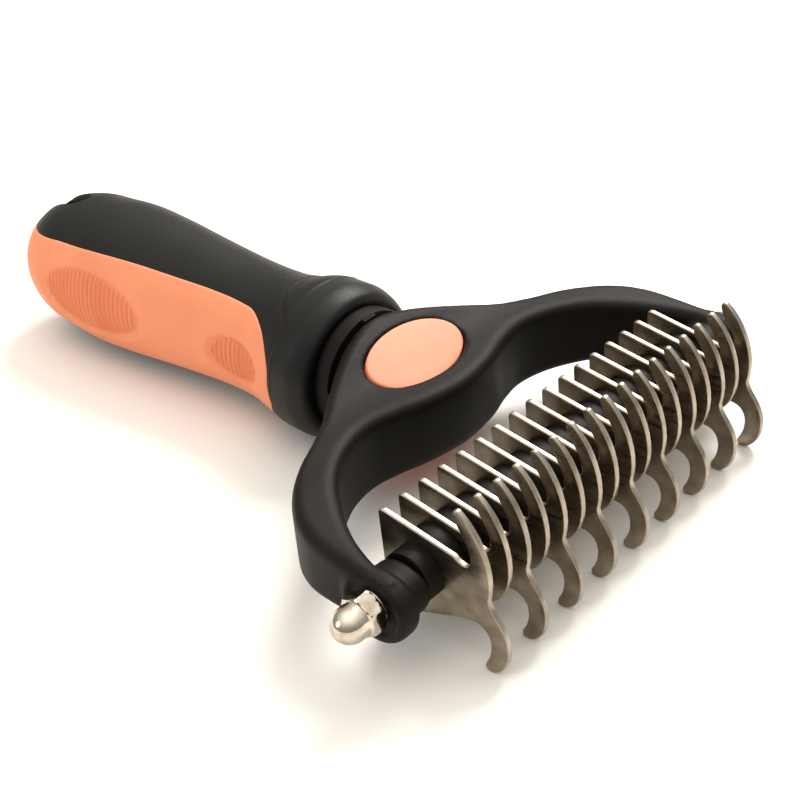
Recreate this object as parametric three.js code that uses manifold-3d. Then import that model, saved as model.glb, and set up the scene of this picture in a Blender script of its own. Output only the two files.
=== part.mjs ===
// Double-sided undercoat rake: a forked yoke on a soft-grip handle, with a stack of
// stamped steel blades on a cross axle. Every blade has a fine tooth above; every second
// blade, from the first, also has a coarse hook below. Millimetres, +Z up.
//
// Everything is drawn in the tool's own frame: the origin is the middle of the axle, +X runs
// along the axle and +Y along the handle. But for the blades and the ends of the arms, the
// tool is the same above and below z = 0.
// The finished tool is then tipped and lifted, so that it lies on its hooks and its handle.

import * as THREE from 'three';
import { mergeVertices } from 'three/addons/utils/BufferGeometryUtils.js';
import Module from 'manifold-3d';

const wasm = await Module();
wasm.setup();

// ---- driving dimensions ----

const CLEARANCE = 0.3;           // air left round every fitted piece
const REST_FLAT = 0.12;          // depth of the flat where the handle lies on the table

const BLADE_COUNT = 17;
const BLADE_PITCH = 5;
const BLADE_THICK = 1.15;
const BLADE_BACK = 8.9;          // rear edge of the blades, behind the axle
const BLADE_CORNER = 1.4;        // rounding of the two rear corners

const AXLE_SQUARE = 4.2;         // across the flats of the square middle
const AXLE_END_R = 1.9;          // threaded ends
const SPACER_R = 6;
const SPACER_BORE_R = 3.5;
const SLEEVE_R = 5;

const WINDOW_ROUND = 1.7;        // rounding of the edges of the space inside the fork
const BOSS_R = 7.2;              // round end of an arm, about the axle
const BOSS_IN = 48.4;            // inner and outer face of an arm's end, from the middle
const BOSS_OUT = 53;
const BOSS_TOP = 0.73;           // the arm's end is that much flatter above the axle
const INNER_BOSS_R = 5.6;
const INNER_BOSS_IN = 44.2;      // face that the blade stack is clamped against
const SEAT_R = 5.2;              // recess round the nut
const SEAT_DEPTH = 0.9;
const NECK_END = 47;             // where the yoke's body stops, before the collar
const SPIGOT_R = 6;              // plug that goes into the handle
const SPIGOT_END = 84;

const COLLAR_R = 13.1;
const COLLAR_HUB_R = 10.6;
const COLLAR_START = 47.3;
const COLLAR_FLANGE = 48.2;
const COLLAR_END = 51.2;
const COLLAR_RIBS = 4;
const COLLAR_RIB_WIDE = 3.6;

const BADGE_Y = 35.95;           // centre of the oval badges, on the sloping neck
const BADGE_Z = 8.5;
const BADGE_SLOPE = 0.46;        // radians that the badge rises towards the handle
const BADGE_LONG = 12.3;
const BADGE_SHORT = 6.9;
const BADGE_PROUD = 0.6;
const BADGE_SUNK = 1.6;

const NUT_FLATS = 7;             // M4 acorn nut
const NUT_HEX = 3.3;
const NUT_TALL = 8.2;
const NUT_BORE_R = 2.2;
const HEAD_R = 4.3;              // low round head of the bolt, at the other end
const HEAD_TALL = 1.4;
const WASHER_R = 3.4;
const WASHER_THICK = 0.8;

const HANDLE_FRONT = 51.5;
const HANDLE_REAR = 155.4;
const HANDLE_WIDE = 1.02;        // the handle's section is a little wider than it is high
const HANDLE_HIGH = 0.98;
const DOME_START = 134;          // where the round tail begins
const GRIP_HALF = 12.2;          // half height of the soft grip, seen from the side
const GRIP_HIGHEST = 124;        // where the grip is that high
const GRIP_FRONT = 61.1;
const GRIP_FRONT_HALF = 11.3;
const GRIP_REAR_HALF = 8.6;
const GRIP_CORNER = [13, 8.5];   // front corners of the grip, along the handle and up
const GRIP_THICK = 2.2;
const CORE_R = 8.6;
const CORE_END = 122;
const PIN_R = 1.5;
const PIN_HALF = 7.4;
const PIN_Y = 74;
const HANG_Y = 144.2;             // hanging slot through the tail
const HANG_LONG = 13.8;
const HANG_WIDE = 6.4;

// Radius of the handle at stations along its length, from the collar to the round tail.
const HANDLE_STATIONS = [
  [HANDLE_FRONT, 14.2],
  [53.2, 16],
  [56.5, 16.8],
  [61, 16.6],
  [66.5, 15.3],
  [74, 14.1],
  [84, 14.1],
  [94, 14.75],
  [104, 15.6],
  [114, 16.5],
  [124, 17],
  [DOME_START, 16.4],
];

// ---- materials ----

const PALETTE = {
  black_plastic: { color: 0x2c2a29, roughness: 0.55, metalness: 0 },
  soft_black: { color: 0x35322f, roughness: 0.75, metalness: 0 },
  soft_orange: { color: 0xe98a66, roughness: 0.65, metalness: 0 },
  badge_peach: { color: 0xf2a583, roughness: 0.5, metalness: 0 },
  blade_steel: { color: 0x8f887b, roughness: 0.35, metalness: 1 },
  nickel: { color: 0xd9d2c2, roughness: 0.12, metalness: 1 },
  plain_steel: { color: 0x9a9a98, roughness: 0.4, metalness: 1 },
};

function part(name, geometry, finish) {
  const mesh = new THREE.Mesh(geometry, new THREE.MeshStandardMaterial(PALETTE[finish]));
  mesh.name = name;
  return mesh;
}

// ---- shape helpers ----

// Joins the shared corners of a geometry, drops slivers and turns its faces outwards.
function weld(geometry) {
  const bare = geometry.clone();
  for (const attribute of Object.keys(bare.attributes)) {
    if (attribute !== 'position') bare.deleteAttribute(attribute);
  }
  const merged = mergeVertices(bare, 1e-4);
  const kept = [];
  const index = merged.index.array;
  for (let i = 0; i < index.length; i += 3) {
    const [a, b, c] = [index[i], index[i + 1], index[i + 2]];
    if (a !== b && b !== c && c !== a) kept.push(a, b, c);
  }
  merged.setIndex(kept);
  if (enclosedVolume(merged) < 0) merged.setIndex(kept.reverse());
  return merged;
}

function enclosedVolume(geometry) {
  const corners = geometry.attributes.position;
  const index = geometry.index.array;
  const [a, b, c] = [new THREE.Vector3(), new THREE.Vector3(), new THREE.Vector3()];
  let sum = 0;
  for (let i = 0; i < index.length; i += 3) {
    a.fromBufferAttribute(corners, index[i]);
    b.fromBufferAttribute(corners, index[i + 1]);
    c.fromBufferAttribute(corners, index[i + 2]);
    sum += a.dot(b.cross(c)) / 6;
  }
  return sum;
}

function solid(geometry) {
  const welded = weld(geometry);
  return new wasm.Manifold(new wasm.Mesh({
    numProp: 3,
    vertProperties: new Float32Array(welded.attributes.position.array),
    triVerts: new Uint32Array(welded.index.array),
  }));
}

function surface(body) {
  const mesh = body.getMesh();
  const geometry = new THREE.BufferGeometry();
  geometry.setAttribute('position', new THREE.BufferAttribute(mesh.vertProperties, 3));
  geometry.setIndex(new THREE.BufferAttribute(mesh.triVerts, 1));
  return geometry;
}

// A flat outline, drawn with its own x along the tool's Y and its own y along the tool's Z,
// given a thickness along X, with its middle at the given x.
function plateAcross(shape, thick, x = 0, curveSegments = 4) {
  const geometry = new THREE.ExtrudeGeometry(shape, {
    depth: thick, bevelEnabled: false, curveSegments,
  });
  geometry.translate(0, 0, -thick / 2);
  geometry.applyMatrix4(new THREE.Matrix4().set(0, 0, 1, x, 1, 0, 0, 0, 0, 1, 0, 0, 0, 0, 0, 1));
  return geometry;
}

// A turned piece about the X axis, from [radius, x] corners.
function turnedOnX(profile, segments) {
  const points = profile.map(([radius, x]) => new THREE.Vector2(radius, x));
  return new THREE.LatheGeometry(points, segments).rotateZ(-Math.PI / 2);
}

// A turned piece about the Y axis, from [radius, y] corners.
function turnedOnY(profile, segments) {
  const points = profile.map(([radius, y]) => new THREE.Vector2(radius, y));
  return new THREE.LatheGeometry(points, segments);
}

// Closed [radius, position] outline of a plain ring.
function ringProfile(bore, radius, from, to) {
  return [[bore, from], [radius, from], [radius, to], [bore, to], [bore, from]];
}

function rodProfile(radius, from, to) {
  return [[0, from], [radius, from], [radius, to], [0, to]];
}

function box(wide, deep, high, x, y, z) {
  return new THREE.BoxGeometry(wide, deep, high).translate(x, y, z);
}

// A closed skin over a row of rings with the same number of corners, flat at both ends.
function lofted(rings) {
  const count = rings[0].length;
  const last = (rings.length - 1) * count;
  const index = [];
  for (let start = 0; start < last; start += count) {
    for (let j = 0; j < count; j += 1) {
      const [a, b] = [start + j, start + (j + 1) % count];
      index.push(a, b, b + count, a, b + count, a + count);
    }
  }
  for (let j = 1; j < count - 1; j += 1) {
    index.push(0, j + 1, j, last, last + j, last + j + 1);
  }
  const geometry = new THREE.BufferGeometry().setFromPoints(rings.flat());
  geometry.setIndex(index);
  return geometry;
}

// Rounded rectangle standing across the tool at the given y.
function roundedRing(y, halfWide, halfHigh, round) {
  const ring = [];
  for (let corner = 0; corner < 4; corner += 1) {
    const middle = (corner + 0.5) * Math.PI / 2;
    const x = Math.sign(Math.cos(middle)) * (halfWide - round);
    const z = Math.sign(Math.sin(middle)) * (halfHigh - round);
    for (let k = 0; k <= CORNER_STEPS; k += 1) {
      const angle = (corner + k / CORNER_STEPS) * Math.PI / 2;
      ring.push(new THREE.Vector3(x + round * Math.cos(angle), y, z + round * Math.sin(angle)));
    }
  }
  return ring;
}

function squareHole(half) {
  const hole = new THREE.Path();
  hole.moveTo(-half, -half);
  hole.lineTo(-half, half);
  hole.lineTo(half, half);
  hole.lineTo(half, -half);
  hole.closePath();
  return hole;
}

function ovalShape(long, short) {
  const shape = new THREE.Shape();
  shape.absellipse(0, 0, long, short, 0, 2 * Math.PI);
  return shape;
}

// ---- blades ----

// Side view of a blade: the fine tooth and its slot above, the clamped body with its two
// rear corners, and below either the coarse hook or a plain rounded front corner.
function bladeShape(hooked) {
  const shape = new THREE.Shape();
  shape.moveTo(BLADE_BACK - 0.75, -12.4 + BLADE_CORNER);
  shape.lineTo(BLADE_BACK, 8.7 - BLADE_CORNER);
  shape.quadraticCurveTo(BLADE_BACK, 8.7, BLADE_BACK - BLADE_CORNER, 8.45);
  shape.lineTo(-7.2, 6.0);
  shape.bezierCurveTo(-9.3, 4.3, -10.9, 4.9, -10.8, 7.2);
  shape.bezierCurveTo(-10.7, 10.2, -7.9, 11.9, -7.5, 14.5);
  shape.quadraticCurveTo(-7.5, 15.7, -8.75, 15.35);
  shape.bezierCurveTo(-12.9, 12.4, -15.6, 5.5, -14.1, -0.1);
  if (hooked) {
    shape.bezierCurveTo(-14.3, -2.6, -17.8, -4.2, -17.85, -8.6);
    shape.bezierCurveTo(-17.9, -12.2, -16.2, -14.5, -14.3, -15.1);
    shape.quadraticCurveTo(-12.5, -15.3, -12.9, -13.7);
    shape.bezierCurveTo(-13.7, -12.3, -14.2, -11.0, -14.15, -9.2);
    shape.bezierCurveTo(-14.1, -7.2, -12.9, -5.8, -10.9, -5.8);
    shape.lineTo(-8.3, -6.4);
  } else {
    shape.bezierCurveTo(-13.5, -2.6, -12.0, -5.2, -8.3, -6.4);
  }
  shape.lineTo(BLADE_BACK - 1.0 - BLADE_CORNER, -12.2);
  shape.quadraticCurveTo(BLADE_BACK - 0.8, -12.9, BLADE_BACK - 0.75, -12.4 + BLADE_CORNER);
  shape.holes.push(squareHole(AXLE_SQUARE / 2 + CLEARANCE));
  return shape;
}

function bladeX(i) {
  return (i - (BLADE_COUNT - 1) / 2) * BLADE_PITCH;
}

function makeBlades() {
  const shapes = [bladeShape(true), bladeShape(false)];
  const blades = [];
  for (let i = 0; i < BLADE_COUNT; i += 1) {
    const geometry = weld(plateAcross(shapes[i % 2], BLADE_THICK));
    const name = `blade_${String(i + 1).padStart(2, '0')}`;
    const blade = part(name, geometry, 'blade_steel');
    blade.position.x = bladeX(i);
    blades.push(blade);
  }
  return blades;
}

function makeSpacers() {
  const half = (BLADE_PITCH - BLADE_THICK) / 2;
  const geometry = weld(turnedOnX(ringProfile(SPACER_BORE_R, SPACER_R, -half, half), 14));
  const spacers = [];
  for (let i = 0; i < BLADE_COUNT - 1; i += 1) {
    const name = `spacer_${String(i + 1).padStart(2, '0')}`;
    const spacer = part(name, geometry.clone(), 'black_plastic');
    spacer.position.x = bladeX(i) + BLADE_PITCH / 2;
    spacers.push(spacer);
  }
  return spacers;
}

// ---- axle and its fasteners ----

const STACK_END = bladeX(BLADE_COUNT - 1) + BLADE_THICK / 2;
const SEAT_FACE = BOSS_OUT - SEAT_DEPTH;
const NUT_BASE = SEAT_FACE + WASHER_THICK;

function makeAxle() {
  const square = box(2 * (INNER_BOSS_IN - CLEARANCE), AXLE_SQUARE, AXLE_SQUARE, 0, 0, 0);
  const left = NUT_BASE + NUT_HEX + 1.4;
  const right = NUT_BASE + HEAD_TALL - 0.9;
  const rod = turnedOnX(rodProfile(AXLE_END_R, -left, right), 12);
  return part('axle_rod', surface(solid(square).add(solid(rod))), 'plain_steel');
}

// Acorn nut, drawn with its base at x = 0 and its dome towards +X.
function nutGeometry() {
  const hex = turnedOnX(rodProfile(NUT_FLATS / Math.sqrt(3), 0, NUT_HEX), 6);
  const chamfer = turnedOnX([[0, -0.01], [3.55, -0.01], [4.1, 0.5], [4.1, 2.8], [3.4, 3.4],
    [0, 3.4]], 16);
  const domeR = NUT_FLATS / 2 - 0.25;
  const profile = [[0, 1], [domeR, 1]];
  const steps = 4;
  for (let i = 0; i <= steps; i += 1) {
    const angle = (i / steps) * Math.PI / 2;
    profile.push([domeR * Math.cos(angle), 4.6 + (NUT_TALL - 4.6) * Math.sin(angle)]);
  }
  const dome = turnedOnX(profile, 16);
  const bore = turnedOnX(rodProfile(NUT_BORE_R, -1, NUT_HEX + 2.2), 12);
  return surface(solid(hex).intersect(solid(chamfer)).add(solid(dome)).subtract(solid(bore)));
}

// Low round bolt head, drawn with its base at x = 0 and hollowed for the end of the axle.
function headGeometry() {
  const profile = [
    [0, HEAD_TALL - 0.6], [NUT_BORE_R, HEAD_TALL - 0.6], [NUT_BORE_R, 0], [HEAD_R, 0],
    [HEAD_R, HEAD_TALL - 0.6], [HEAD_R - 0.7, HEAD_TALL], [0, HEAD_TALL],
  ];
  return weld(turnedOnX(profile, 20));
}

// The pieces on one end of the axle: clamping sleeve, washer, and the nut or the head.
function makeAxleEnd(side, sign, fastener) {
  const sleeveRing = ringProfile(SPACER_BORE_R, SLEEVE_R, STACK_END, INNER_BOSS_IN);
  const sleeve = part(`end_sleeve_${side}`, weld(turnedOnX(sleeveRing, 14)), 'black_plastic');
  const washerRing = ringProfile(NUT_BORE_R, WASHER_R, SEAT_FACE, NUT_BASE);
  const washer = part(`washer_${side}`, weld(turnedOnX(washerRing, 16)), 'nickel');
  fastener.position.x = sign * NUT_BASE;
  for (const piece of [sleeve, washer, fastener]) {
    if (sign < 0) piece.rotation.z = Math.PI;
  }
  return [sleeve, washer, fastener];
}

// ---- yoke ----

// Cross sections of the yoke from the arms' ends to the neck:
// [y, half width, half thickness, rounding of the edges].
const YOKE_STATIONS = [
  [-3, 52.6, 5.2, 1.7], [3, 52.4, 5.4, 1.7], [9, 52.1, 5.9, 1.7], [14.5, 51.4, 6.5, 1.8],
  [19, 49.8, 7, 1.9], [23, 47, 7.4, 2], [26.5, 43.4, 7.6, 2.2], [29.5, 39, 7.8, 2.5],
  [32, 33.9, 8, 2.8], [35, 28.2, 8.5, 3.4], [38.5, 23, 9.8, 4.6], [42, 18.2, 11.5, 7.4],
  [45, 14.8, 12.7, 11], [46.4, 13, 13, 12.7], [NECK_END, 12.7, 12.7, 12.4],
];
const CORNER_STEPS = 4;

// Half outline of the space inside the fork, seen from above, [x, y].
const WINDOW = [
  [0, 23], [9, 24.2], [16, 26.4], [22.5, 27.5], [29.5, 26], [36, 22.2],
  [41, 16.8], [44.8, 11.2], [47.2, 5.5], [BOSS_IN, 0], [BOSS_IN, -12],
];

function mirrored(points) {
  return points.map(([x, y]) => [-x, y]).reverse();
}

function smooth(points, steps) {
  const curve = new THREE.SplineCurve(points.map(([x, y]) => new THREE.Vector2(x, y)));
  return curve.getSpacedPoints(steps);
}

// Half thickness of the yoke at the given y, read between its cross sections.
function yokeHalf(y) {
  const next = YOKE_STATIONS.findIndex((station) => station[0] >= y);
  if (next <= 0) return YOKE_STATIONS[0][2];
  const [[y0, , h0], [y1, , h1]] = [YOKE_STATIONS[next - 1], YOKE_STATIONS[next]];
  return h0 + (h1 - h0) * (y - y0) / (y1 - y0);
}

// The space inside the fork, flared above and below so that it leaves rounded edges.
function forkWindow() {
  const outline = smooth([...mirrored(WINDOW), ...WINDOW.slice(1)], 40);
  const geometry = new THREE.ExtrudeGeometry(new THREE.Shape(outline), {
    depth: 2 * (1 - WINDOW_ROUND / 6),
    bevelThickness: WINDOW_ROUND / 6 + 0.1,
    bevelSize: -WINDOW_ROUND,
    bevelOffset: WINDOW_ROUND,
    bevelSegments: 3,
  });
  geometry.translate(0, 0, WINDOW_ROUND / 6 - 1);
  const corners = geometry.attributes.position;
  for (let i = 0; i < corners.count; i += 1) {
    corners.setZ(i, corners.getZ(i) * yokeHalf(corners.getY(i)));
  }
  return solid(geometry);
}

function armEnd(sign) {
  const soft = 0.9;
  const profile = [
    [0, INNER_BOSS_IN], [INNER_BOSS_R - soft, INNER_BOSS_IN],
    [INNER_BOSS_R, INNER_BOSS_IN + soft], [INNER_BOSS_R, BOSS_IN],
    [BOSS_R - soft, BOSS_IN], [BOSS_R, BOSS_IN + soft],
    [BOSS_R, BOSS_OUT - soft], [BOSS_R - soft, BOSS_OUT], [0, BOSS_OUT],
  ];
  const geometry = turnedOnX(profile.map(([r, x]) => [r, sign * x]), 24);
  const corners = geometry.attributes.position;
  for (let i = 0; i < corners.count; i += 1) {
    if (corners.getZ(i) > 0) corners.setZ(i, corners.getZ(i) * BOSS_TOP);
  }
  return solid(geometry);
}

function axleCut(sign) {
  const bore = AXLE_END_R + CLEARANCE;
  const profile = [
    [0, INNER_BOSS_IN - 1], [bore, INNER_BOSS_IN - 1], [bore, SEAT_FACE],
    [SEAT_R, SEAT_FACE], [SEAT_R, BOSS_OUT + 4], [0, BOSS_OUT + 4],
  ];
  return solid(turnedOnX(profile.map(([r, x]) => [r, sign * x]), 18));
}

// Lays a piece drawn on the level plane onto the sloping face of the neck.
function onNeck(geometry) {
  return geometry.rotateX(BADGE_SLOPE).translate(0, BADGE_Y, BADGE_Z);
}

function badgeSeat(sign) {
  const shape = ovalShape(BADGE_LONG + CLEARANCE, BADGE_SHORT + CLEARANCE);
  const pocket = new THREE.ExtrudeGeometry(shape, {
    depth: BADGE_SUNK + 3, bevelEnabled: false, curveSegments: 24,
  });
  onNeck(pocket.translate(0, 0, -BADGE_SUNK));
  if (sign < 0) pocket.rotateY(Math.PI);
  return solid(pocket);
}

function pinHole() {
  return solid(turnedOnX(rodProfile(PIN_R + CLEARANCE, -20, 20), 12).translate(0, PIN_Y, 0));
}

function makeYoke() {
  const rings = YOKE_STATIONS.map((station) => roundedRing(...station));
  const spigot = turnedOnY(rodProfile(SPIGOT_R, NECK_END - 6, SPIGOT_END), 24);
  let body = solid(lofted(rings)).subtract(forkWindow()).add(solid(spigot));
  for (const sign of [-1, 1]) {
    body = body.add(armEnd(sign));
    body = body.subtract(axleCut(sign)).subtract(badgeSeat(sign));
  }
  return part('yoke', surface(body.subtract(pinHole())), 'black_plastic');
}

function makeBadge(name, sign) {
  const round = 0.5;
  const thick = BADGE_PROUD + BADGE_SUNK - CLEARANCE;
  const geometry = new THREE.ExtrudeGeometry(ovalShape(BADGE_LONG, BADGE_SHORT), {
    depth: thick - 2 * round,
    bevelThickness: round,
    bevelSize: round,
    bevelOffset: -round,
    bevelSegments: 2,
    curveSegments: 24,
  });
  onNeck(geometry.translate(0, 0, BADGE_PROUD - thick + round));
  const badge = part(name, weld(geometry), 'badge_peach');
  if (sign < 0) badge.rotation.y = Math.PI;
  return badge;
}

// Slotted ring between the yoke and the handle: a hub and a flange joined by short ribs.
function makeCollar() {
  const bore = SPIGOT_R + CLEARANCE;
  let body = solid(turnedOnY([
    [bore, COLLAR_START], [COLLAR_HUB_R, COLLAR_START], [COLLAR_HUB_R, COLLAR_FLANGE],
    [COLLAR_R - 0.6, COLLAR_FLANGE], [COLLAR_R, COLLAR_FLANGE + 0.6],
    [COLLAR_R, COLLAR_END], [bore, COLLAR_END], [bore, COLLAR_START],
  ], 28));
  const ribLong = COLLAR_R - COLLAR_HUB_R + 0.4;
  const ribDeep = COLLAR_FLANGE - COLLAR_START + 0.4;
  for (let i = 0; i < COLLAR_RIBS; i += 1) {
    const rib = box(ribLong, ribDeep, COLLAR_RIB_WIDE, COLLAR_HUB_R + ribLong / 2 - 0.9,
      COLLAR_START + ribDeep / 2, 0);
    rib.rotateY(i * 2 * Math.PI / COLLAR_RIBS);
    body = body.add(solid(rib));
  }
  return part('neck_collar', surface(body), 'black_plastic');
}

// ---- handle ----

// The handle's turned form, drawn smaller by the given depth and squeezed to its oval section.
function handleForm(depth) {
  const stations = HANDLE_STATIONS.map(([y, r]) => [r - depth, y]);
  const side = smooth(stations, 18);
  const tail = DOME_START;
  const tailR = side[side.length - 1].x;
  const tailLong = HANDLE_REAR - depth - tail;
  const steps = 6;
  for (let i = 1; i <= steps; i += 1) {
    const angle = (i / steps) * Math.PI / 2;
    const r = i === steps ? 0 : tailR * Math.cos(angle);
    side.push(new THREE.Vector2(r, tail + tailLong * Math.sin(angle)));
  }
  const profile = [new THREE.Vector2(0, HANDLE_FRONT), ...side];
  return solid(new THREE.LatheGeometry(profile, 26).scale(HANDLE_WIDE, 1, HANDLE_HIGH));
}

// Region of the soft grip seen from the side: a band along both flanks, open at the tail.
function gripRegion(grow) {
  const half = GRIP_HALF + grow;
  const frontHalf = GRIP_FRONT_HALF + grow;
  const rearHalf = GRIP_REAR_HALF + grow;
  const [long, high] = GRIP_CORNER.map((size) => size + grow);
  const front = GRIP_FRONT - grow;
  const shape = new THREE.Shape();
  shape.moveTo(HANDLE_REAR + 2, -rearHalf);
  shape.lineTo(HANDLE_REAR + 2, rearHalf);
  shape.quadraticCurveTo(GRIP_HIGHEST + 6, half, GRIP_HIGHEST - 12, half);
  shape.lineTo(front + long, frontHalf);
  shape.absellipse(front + long, frontHalf - high, long, high, Math.PI / 2, Math.PI);
  shape.lineTo(front, high - frontHalf);
  shape.absellipse(front + long, high - frontHalf, long, high, Math.PI, Math.PI * 1.5);
  shape.lineTo(GRIP_HIGHEST - 12, -half);
  shape.quadraticCurveTo(GRIP_HIGHEST + 6, -half, HANDLE_REAR + 2, -rearHalf);
  return solid(plateAcross(shape, 60, 0, 6));
}

function hangingSlot() {
  const r = HANG_WIDE / 2;
  const run = HANG_LONG / 2 - r;
  const shape = new THREE.Shape();
  shape.absarc(0, HANG_Y - run, r, Math.PI, 2 * Math.PI);
  shape.absarc(0, HANG_Y + run, r, 0, Math.PI);
  const geometry = new THREE.ExtrudeGeometry(shape, {
    depth: 60, bevelEnabled: false, curveSegments: 8,
  });
  return solid(geometry.translate(0, 0, -30));
}

// The table top that the tipped tool lies on touches the hooks' lowest points and the
// handle's belly, and trims the flared front of the handle.
const HOOK_LOW = [-13.9, -15.12];
const BELLY = [124, -17 * HANDLE_HIGH + REST_FLAT];
const REST_SLOPE = Math.atan2(HOOK_LOW[1] - BELLY[1], BELLY[0] - HOOK_LOW[0]);

function tableTop() {
  const slab = new THREE.BoxGeometry(60, 180, 10).translate(0, 0, -5);
  slab.rotateX(-REST_SLOPE);
  return solid(slab.translate(0, BELLY[0], BELLY[1]));
}

function makeHandle() {
  const table = tableTop();
  const slot = hangingSlot();
  const bore = turnedOnY(rodProfile(CORE_R + CLEARANCE, 0, CORE_END + CLEARANCE), 16);
  const skinCut = gripRegion(CLEARANCE).subtract(handleForm(GRIP_THICK + CLEARANCE));
  const shell = handleForm(0).subtract(skinCut).subtract(solid(bore)).subtract(slot)
    .subtract(table);
  const grip = handleForm(0).intersect(gripRegion(0)).subtract(handleForm(GRIP_THICK))
    .subtract(slot);
  const socket = turnedOnY([
    [SPIGOT_R + CLEARANCE, HANDLE_FRONT + CLEARANCE], [CORE_R, HANDLE_FRONT + CLEARANCE],
    [CORE_R, CORE_END], [0, CORE_END], [0, SPIGOT_END + CLEARANCE],
    [SPIGOT_R + CLEARANCE, SPIGOT_END + CLEARANCE],
    [SPIGOT_R + CLEARANCE, HANDLE_FRONT + CLEARANCE],
  ], 16);
  const pin = turnedOnX(rodProfile(PIN_R, -PIN_HALF, PIN_HALF), 12).translate(0, PIN_Y, 0);
  return [
    part('handle_shell', surface(shell), 'soft_black'),
    part('grip_wrap', surface(grip), 'soft_orange'),
    part('handle_core', surface(solid(socket).subtract(pinHole())), 'black_plastic'),
    part('spigot_pin', weld(pin), 'plain_steel'),
  ];
}

// ---- the whole rake ----

const tool = new THREE.Group();
tool.add(makeYoke(), makeCollar());
tool.add(makeBadge('badge_top', 1), makeBadge('badge_bottom', -1));
tool.add(...makeHandle());
tool.add(makeAxle(), ...makeBlades(), ...makeSpacers());
tool.add(...makeAxleEnd('left', -1, part('acorn_nut', nutGeometry(), 'nickel')));
tool.add(...makeAxleEnd('right', 1, part('bolt_head', headGeometry(), 'nickel')));
tool.rotation.x = REST_SLOPE;
tool.updateMatrixWorld(true);

// The origin is under the middle of the rake, on the table.
const bounds = new THREE.Box3().setFromObject(tool, true);
const centre = bounds.getCenter(new THREE.Vector3());
tool.position.set(-centre.x, -centre.y, -bounds.min.z);

const rake = new THREE.Group();
rake.add(tool);

export default rake;
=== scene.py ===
# Undercoat rake on a pale table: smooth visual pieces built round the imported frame.
# Shapes are drawn in the tool's own frame in millimetres (origin in the middle of the axle,
# +X along the axle, +Y towards the handle's tail), then laid down where the frame lies.
import math

import bmesh
import bpy
import numpy as np
from mathutils import Matrix, Vector


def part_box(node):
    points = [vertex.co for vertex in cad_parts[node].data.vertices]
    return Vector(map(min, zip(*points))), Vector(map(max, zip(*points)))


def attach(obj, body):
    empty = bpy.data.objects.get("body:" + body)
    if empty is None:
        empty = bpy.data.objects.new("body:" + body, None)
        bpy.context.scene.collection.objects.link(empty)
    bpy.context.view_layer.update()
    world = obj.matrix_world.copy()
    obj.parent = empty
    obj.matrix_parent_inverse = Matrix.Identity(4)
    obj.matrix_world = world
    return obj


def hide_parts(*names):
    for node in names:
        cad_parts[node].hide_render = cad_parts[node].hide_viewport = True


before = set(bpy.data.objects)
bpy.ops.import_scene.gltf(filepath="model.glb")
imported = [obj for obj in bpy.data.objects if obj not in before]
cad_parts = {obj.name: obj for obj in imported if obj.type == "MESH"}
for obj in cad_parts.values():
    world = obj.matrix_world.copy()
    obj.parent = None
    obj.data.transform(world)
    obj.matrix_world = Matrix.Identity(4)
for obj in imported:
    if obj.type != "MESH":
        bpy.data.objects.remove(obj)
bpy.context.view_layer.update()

MM = 0.001
REST_SLOPE = 0.0103
axle_low, axle_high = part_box("axle_rod")
blade_low, blade_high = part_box("blade_09")
AXLE = (Vector(axle_low) + Vector(axle_high)) / 2
AXLE.x = (blade_low[0] + blade_high[0]) / 2
TOOL = (
    Matrix.Translation(AXLE) @ Matrix.Rotation(REST_SLOPE, 4, "X") @ Matrix.Scale(MM, 4)
)

# ---------------------------------------------------------------- materials


def new_material(name, color, roughness, metallic=0.0):
    mat = bpy.data.materials.new(name)
    mat.use_nodes = True
    shader = mat.node_tree.nodes["Principled BSDF"]
    shader.inputs["Base Color"].default_value = (*color, 1)
    shader.inputs["Roughness"].default_value = roughness
    shader.inputs["Metallic"].default_value = metallic
    return mat, shader


def link(mat, output, socket):
    mat.node_tree.links.new(output, socket)


def add_node(mat, kind, **values):
    node = mat.node_tree.nodes.new(kind)
    for key, value in values.items():
        if key in node.inputs:
            node.inputs[key].default_value = value
        else:
            setattr(node, key, value)
    return node


def noise(mat, scale, detail=3.0, stretch=(1, 1, 1)):
    """Noise in object space; scale is in features per metre."""
    place = add_node(mat, "ShaderNodeTexCoord")
    mapping = add_node(mat, "ShaderNodeMapping")
    mapping.inputs["Scale"].default_value = stretch
    tex = add_node(mat, "ShaderNodeTexNoise", Scale=scale, Detail=detail)
    link(mat, place.outputs["Object"], mapping.inputs["Vector"])
    link(mat, mapping.outputs["Vector"], tex.inputs["Vector"])
    return tex.outputs["Fac"]


def remap(mat, value, low, high, start=0.3, stop=0.7):
    """Stretches start...stop of a value to low...high."""
    node = add_node(mat, "ShaderNodeMapRange")
    node.inputs["From Min"].default_value = start
    node.inputs["From Max"].default_value = stop
    node.inputs["To Min"].default_value = low
    node.inputs["To Max"].default_value = high
    link(mat, value, node.inputs["Value"])
    return node.outputs["Result"]


def ramp_color(mat, value, dark, light, start=0.3, stop=0.7):
    """Colour that runs from dark to light as a value goes from start to stop."""
    node = add_node(mat, "ShaderNodeValToRGB")
    node.color_ramp.elements[0].position = start
    node.color_ramp.elements[0].color = (*dark, 1)
    node.color_ramp.elements[1].position = stop
    node.color_ramp.elements[1].color = (*light, 1)
    link(mat, value, node.inputs["Fac"])
    return node.outputs["Color"]


def bump(mat, shader, value, depth, strength):
    node = add_node(mat, "ShaderNodeBump", Strength=strength, Distance=depth)
    link(mat, value, node.inputs["Height"])
    link(mat, node.outputs["Normal"], shader.inputs["Normal"])


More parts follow.
